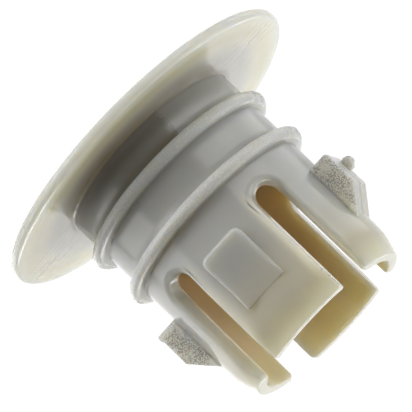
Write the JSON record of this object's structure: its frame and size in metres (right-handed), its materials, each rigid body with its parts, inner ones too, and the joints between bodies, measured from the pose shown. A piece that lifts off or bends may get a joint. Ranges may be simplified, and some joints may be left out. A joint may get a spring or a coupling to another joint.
{
  "type": "screw cover cap",
  "caption": "Round flanged plug of moulded plastic that snaps into a panel hole over a screw, with sealing ribs and slotted, barbed fingers.",
  "frame": {"origin": "centre of the flange's flat outer face, on which the part stands", "axes": "+Z along the plug from the flange to the finger tips, X through the two barbed side fingers, Y through the two fingers with wedge pads"},
  "size_m": [0.02, 0.02, 0.0143],
  "materials": {
    "moulded_plastic": "semi-gloss warm grey, moulded"
  },
  "bodies": {
    "root": {"cover_cap": "moulded_plastic"}
  },
  "joints": []
}
